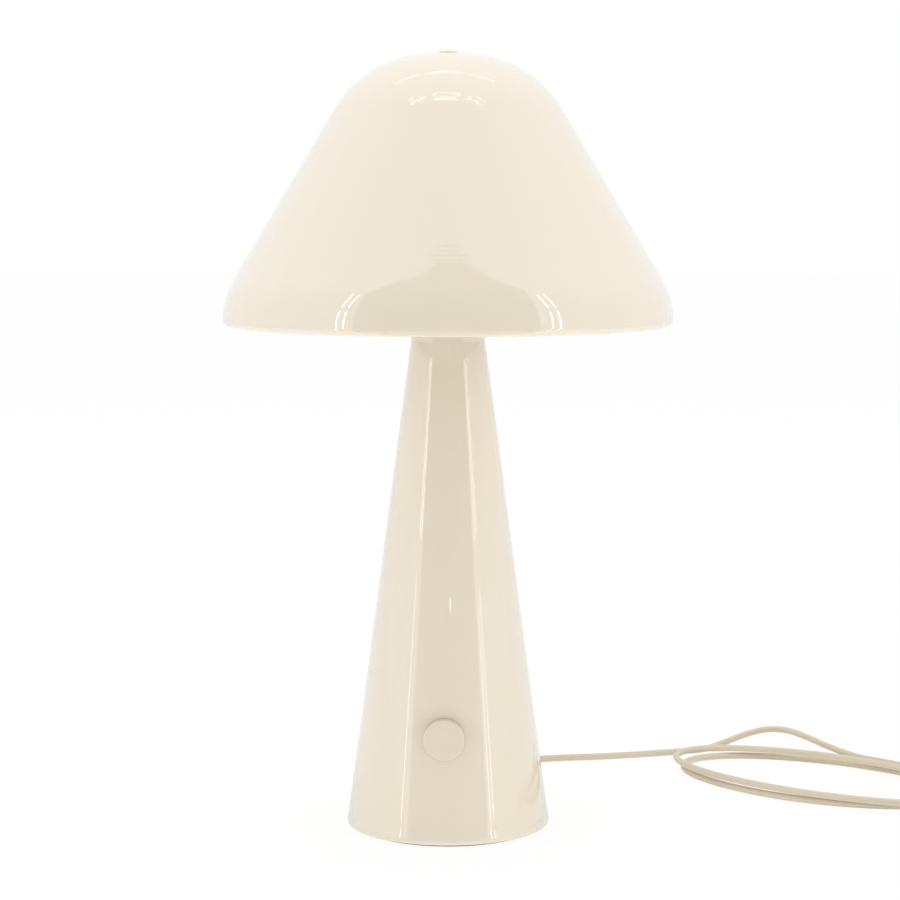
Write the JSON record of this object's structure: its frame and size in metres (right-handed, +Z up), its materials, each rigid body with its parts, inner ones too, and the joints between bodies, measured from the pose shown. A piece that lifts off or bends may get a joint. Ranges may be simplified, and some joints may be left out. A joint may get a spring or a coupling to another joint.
{
  "type": "table lamp",
  "caption": "Mushroom table lamp: cone-shaped sheet steel base, spun steel dome shade on a wire harp, push button low on the front, and a mains cord lying in a loose coil.",
  "frame": {"origin": "on the table under the middle of the base", "axes": "+Z up along the base's axis, the push button faces -Y, +X is to the right of someone who looks at the button"},
  "size_m": [0.5777, 0.3984, 0.5239],
  "materials": {
    "cream_paint": "warm cream paint, high gloss",
    "cream_plastic": "moulded cream plastic, satin gloss",
    "cord_plastic": "soft cream PVC, satin",
    "zinc_steel": "zinc plated, satin",
    "cast_weight": "raw casting",
    "dark_rubber": "matt",
    "holder_plastic": "white moulded plastic, satin",
    "dark_plastic": "black moulded plastic, satin",
    "white_ceramic": "white glaze",
    "brass": "plain",
    "bulb_metal": "rolled thread, bright",
    "opal_glass": "opal white, gloss",
    "pin_metal": "nickel plated"
  },
  "bodies": {
    "lamp": {"base_shell": "cream_paint", "base_plate": "zinc_steel", "foot_pad": "dark_rubber", "counterweight": "cast_weight", "lamp_tube": "zinc_steel", "plate_nut": "zinc_steel", "weight_washer": "zinc_steel", "weight_nut": "zinc_steel", "neck_cap": "cream_paint", "harp_saddle": "zinc_steel", "lock_washer": "zinc_steel", "neck_nut": "zinc_steel", "harp": "zinc_steel", "shade_seat": "brass", "seat_nut": "brass", "seat_washer": "dark_rubber", "shade": "cream_paint", "holder_cap": "holder_plastic", "holder_insert": "white_ceramic", "holder_shell": "brass", "holder_contact": "brass", "holder_sleeve": "holder_plastic", "button_guide": "holder_plastic", "button_spring": "zinc_steel", "switch_bracket": "zinc_steel", "switch_body": "dark_plastic", "switch_tabs": "brass", "guide_screws": "zinc_steel", "bracket_screws": "zinc_steel", "cord_gland": "cord_plastic", "inner_cord": "cord_plastic", "clamp_base": "dark_plastic", "clamp_bridge": "dark_plastic", "clamp_screws": "zinc_steel", "terminal_block": "holder_plastic", "terminal_screws": "brass", "inner_lead": "cord_plastic", "switch_wires": "cord_plastic", "cord_lead": "cord_plastic", "cord_coil": "cord_plastic", "cord_tail": "cord_plastic", "plug_relief": "cord_plastic", "plug_body": "cord_plastic", "plug_pins": "pin_metal"},
    "button": {"button_cap": "cream_plastic", "switch_plunger": "holder_plastic"},
    "cap": {"cap_screw": "cream_paint"},
    "bulb": {"bulb_cap": "bulb_metal", "bulb_contact": "brass", "bulb_glass": "opal_glass"}
  },
  "joints": [
    {"name": "button_press", "type": "slide", "parent": "lamp", "child": "button", "axis": [0, 1, 0], "range_m": [0, 0.0025], "stiffness_N_per_m": 600, "springref_m": -0.002, "deforming": ["button_spring"]},
    {"name": "cap_turn", "type": "hinge", "parent": "lamp", "child": "cap", "pos_m": [0, 0, 0.5208], "axis": [0, 0, 1], "continuous": true},
    {"name": "bulb_turn", "type": "hinge", "parent": "lamp", "child": "bulb", "pos_m": [0, 0, 0.45], "axis": [0, 0, 1], "continuous": true}
  ]
}
